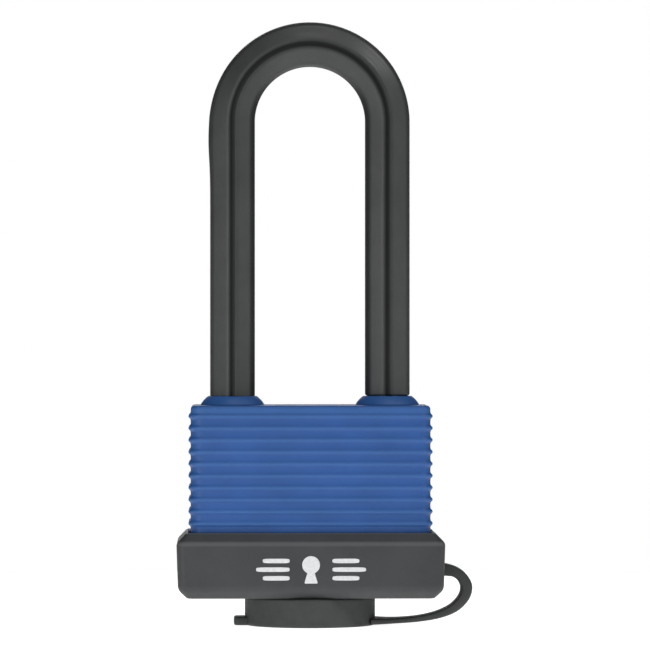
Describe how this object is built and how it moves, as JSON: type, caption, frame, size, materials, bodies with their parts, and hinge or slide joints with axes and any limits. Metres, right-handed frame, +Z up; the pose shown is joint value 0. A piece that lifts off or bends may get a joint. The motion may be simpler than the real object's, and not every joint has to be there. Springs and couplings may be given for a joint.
{
  "type": "padlock",
  "caption": "Weather-protected key padlock with a long sleeved shackle, a ribbed jacket, a base cover and a tethered cap over the keyway.",
  "frame": {"origin": "centre of the keyway cap's flat underside, on the key plug's axis", "axes": "+Z up along the shackle legs, +X towards the toe leg and the tether, +Y towards the back"},
  "size_m": [0.058, 0.0276, 0.1198],
  "materials": {
    "blue_vinyl_jacket": "satin vinyl, moulded ribs",
    "black_vinyl_sleeve": "satin extruded vinyl",
    "black_moulded_cover": "fine spark-eroded texture",
    "black_rubber_cap": "matt moulded rubber",
    "blackened_hardened_steel": "plated bar",
    "brass": "machined",
    "zinc_plated_steel": "turned and plated",
    "spring_steel": "drawn wire"
  },
  "bodies": {
    "lock_body": {"lock_body": "brass", "body_jacket": "blue_vinyl_jacket", "base_cover": "black_moulded_cover", "cap_tether": "black_rubber_cap", "heel_retaining_pin": "zinc_plated_steel", "plug_retaining_pin": "zinc_plated_steel", "latch_channel_plug": "brass", "pin_chamber_plugs": "brass", "shackle_spring": "spring_steel", "latch_spring_front": "spring_steel", "latch_spring_rear": "spring_steel", "driver_pin_1": "brass", "driver_pin_2": "brass", "driver_pin_3": "brass", "driver_pin_4": "brass", "driver_pin_5": "brass", "pin_spring_1": "spring_steel", "pin_spring_2": "spring_steel", "pin_spring_3": "spring_steel", "pin_spring_4": "spring_steel", "pin_spring_5": "spring_steel"},
    "shackle": {"shackle": "blackened_hardened_steel", "shackle_sleeve": "black_vinyl_sleeve"},
    "key_plug": {"key_plug": "brass", "latch_cam": "zinc_plated_steel", "key_pin_1": "brass", "key_pin_2": "brass", "key_pin_3": "brass", "key_pin_4": "brass", "key_pin_5": "brass"},
    "toe_latch": {"toe_latch": "zinc_plated_steel"},
    "heel_latch": {"heel_latch": "zinc_plated_steel"},
    "keyway_cap": {"keyway_cap": "black_rubber_cap"}
  },
  "joints": [
    {"name": "shackle_lift", "type": "slide", "parent": "lock_body", "child": "shackle", "axis": [0, 0, 1], "range_m": [0, 0.01335], "deforming": ["shackle_spring"]},
    {"name": "plug_turn", "type": "hinge", "parent": "lock_body", "child": "key_plug", "pos_m": [0, 0, 0.008], "axis": [0, 0, 1], "range_deg": [-90, 0]},
    {"name": "toe_latch_slide", "type": "slide", "parent": "lock_body", "child": "toe_latch", "axis": [1, 0, 0], "range_m": [0, 0.00151], "deforming": ["latch_spring_front", "latch_spring_rear"]},
    {"name": "heel_latch_slide", "type": "slide", "parent": "lock_body", "child": "heel_latch", "axis": [-1, 0, 0], "range_m": [0, 0.00151], "deforming": ["latch_spring_front", "latch_spring_rear"]},
    {"name": "cap_pull", "type": "slide", "parent": "lock_body", "child": "keyway_cap", "axis": [0, 0, -1], "range_m": [0, 0.008], "deforming": ["cap_tether"]}
  ],
  "couplings": [
    {"joint": "toe_latch_slide", "follows": "plug_turn", "m_per_rad": -0.00095493},
    {"joint": "heel_latch_slide", "follows": "plug_turn", "m_per_rad": -0.00095493}
  ]
}
